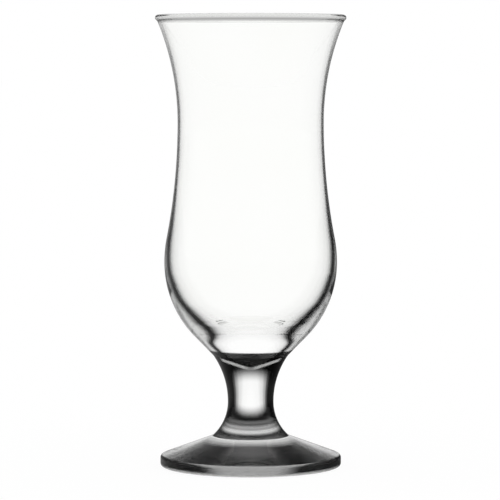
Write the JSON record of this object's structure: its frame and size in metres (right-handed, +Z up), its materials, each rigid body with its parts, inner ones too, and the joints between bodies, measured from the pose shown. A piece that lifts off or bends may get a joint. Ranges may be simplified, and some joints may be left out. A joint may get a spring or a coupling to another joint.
{
  "type": "hurricane glass",
  "caption": "Tall clear cocktail glass with a flared rim, slim waist and round belly on a short hourglass stem and a sloping round foot.",
  "frame": {"origin": "centre of the foot's contact ring on the table", "axes": "+Z up along the glass's axis of rotation, towards the rim; X and Y are equivalent"},
  "size_m": [0.085, 0.085, 0.2011],
  "materials": {
    "bowl_glass": "clear, fire polished",
    "stem_glass": "clear, fire polished",
    "foot_glass": "clear, fire polished"
  },
  "bodies": {
    "root": {"bowl": "bowl_glass", "stem": "stem_glass", "foot": "foot_glass"}
  },
  "joints": []
}
